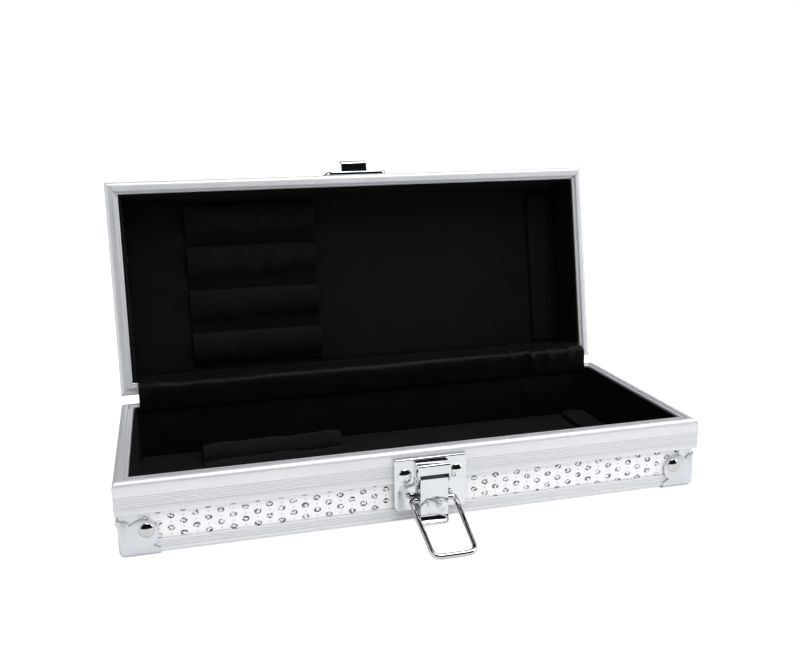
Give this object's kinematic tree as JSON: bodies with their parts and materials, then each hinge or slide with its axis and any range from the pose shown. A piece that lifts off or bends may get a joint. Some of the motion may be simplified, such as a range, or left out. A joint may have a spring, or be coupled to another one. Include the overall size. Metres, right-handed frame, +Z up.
{
  "type": "brush box",
  "caption": "Slim hinged case with aluminium rims and corner caps, a printed white shell, a front toggle latch with wire bail, black lining and elastic brush sleeves.",
  "frame": {"origin": "on the table under the middle of the open box, in the middle of its footprint from the bail to the lid", "axes": "+X to the right seen from the front, +Y to the rear hinges, +Z up; the latch is on the -Y side"},
  "size_m": [0.2668, 0.202, 0.1508],
  "materials": {
    "aluminium_extrusion": "satin anodised",
    "cap_steel": "bright satin plated",
    "chrome_latch": "mirror",
    "hinge_steel": "bright plated",
    "printed_panel": "laminated board with a printed pattern of small grey gems",
    "black_lining": "brushed black cloth",
    "black_elastic": "shirred elastic",
    "black_satin": "satin cloth"
  },
  "bodies": {
    "base": {"base_board": "black_lining", "base_corner_cap_back_left": "cap_steel", "base_corner_cap_back_right": "cap_steel", "base_corner_cap_front_left": "cap_steel", "base_corner_cap_front_right": "cap_steel", "base_corner_trim_back_left": "aluminium_extrusion", "base_corner_trim_back_right": "aluminium_extrusion", "base_corner_trim_front_left": "aluminium_extrusion", "base_corner_trim_front_right": "aluminium_extrusion", "base_edge_back": "aluminium_extrusion", "base_edge_front": "aluminium_extrusion", "base_edge_left": "aluminium_extrusion", "base_edge_right": "aluminium_extrusion", "base_end_strip": "black_lining", "base_lining": "black_lining", "base_panel_back": "printed_panel", "base_panel_front": "printed_panel", "base_panel_left": "printed_panel", "base_panel_outer": "printed_panel", "base_panel_right": "printed_panel", "base_rim_back": "aluminium_extrusion", "base_rim_front": "aluminium_extrusion", "base_rim_left": "aluminium_extrusion", "base_rim_right": "aluminium_extrusion", "base_sleeves": "black_elastic", "hinge_cloth": "black_satin", "hinge_left_base_leaf": "hinge_steel", "hinge_right_base_leaf": "hinge_steel", "latch_pin": "chrome_latch", "latch_plate": "chrome_latch"},
    "lid": {"catch_plate": "chrome_latch", "hinge_left_lid_leaf": "hinge_steel", "hinge_right_lid_leaf": "hinge_steel", "lid_board": "black_lining", "lid_corner_cap_back_left": "cap_steel", "lid_corner_cap_back_right": "cap_steel", "lid_corner_cap_front_left": "cap_steel", "lid_corner_cap_front_right": "cap_steel", "lid_corner_trim_back_left": "aluminium_extrusion", "lid_corner_trim_back_right": "aluminium_extrusion", "lid_corner_trim_front_left": "aluminium_extrusion", "lid_corner_trim_front_right": "aluminium_extrusion", "lid_edge_back": "aluminium_extrusion", "lid_edge_front": "aluminium_extrusion", "lid_edge_left": "aluminium_extrusion", "lid_edge_right": "aluminium_extrusion", "lid_end_strip": "black_lining", "lid_lining": "black_lining", "lid_panel_back": "printed_panel", "lid_panel_front": "printed_panel", "lid_panel_left": "printed_panel", "lid_panel_outer": "printed_panel", "lid_panel_right": "printed_panel", "lid_rim_back": "aluminium_extrusion", "lid_rim_front": "aluminium_extrusion", "lid_rim_left": "aluminium_extrusion", "lid_rim_right": "aluminium_extrusion", "lid_sleeves": "black_elastic"},
    "lever": {"latch_lever": "chrome_latch"},
    "bail": {"latch_bail": "chrome_latch"}
  },
  "joints": [
    {"name": "lid_hinge", "type": "hinge", "parent": "base", "child": "lid", "pos_m": [0, 0.04899, 0.03345], "axis": [1, 0, 0], "range_deg": [0, 100], "deforming": ["hinge_cloth"]},
    {"name": "lever_hinge", "type": "hinge", "parent": "base", "child": "lever", "pos_m": [0, -0.06801, 0.0206], "axis": [-1, 0, 0], "range_deg": [0, 100]},
    {"name": "bail_hinge", "type": "hinge", "parent": "lever", "child": "bail", "pos_m": [0, -0.06821, 0.0122], "axis": [-1, 0, 0], "range_deg": [-60, 25]}
  ]
}
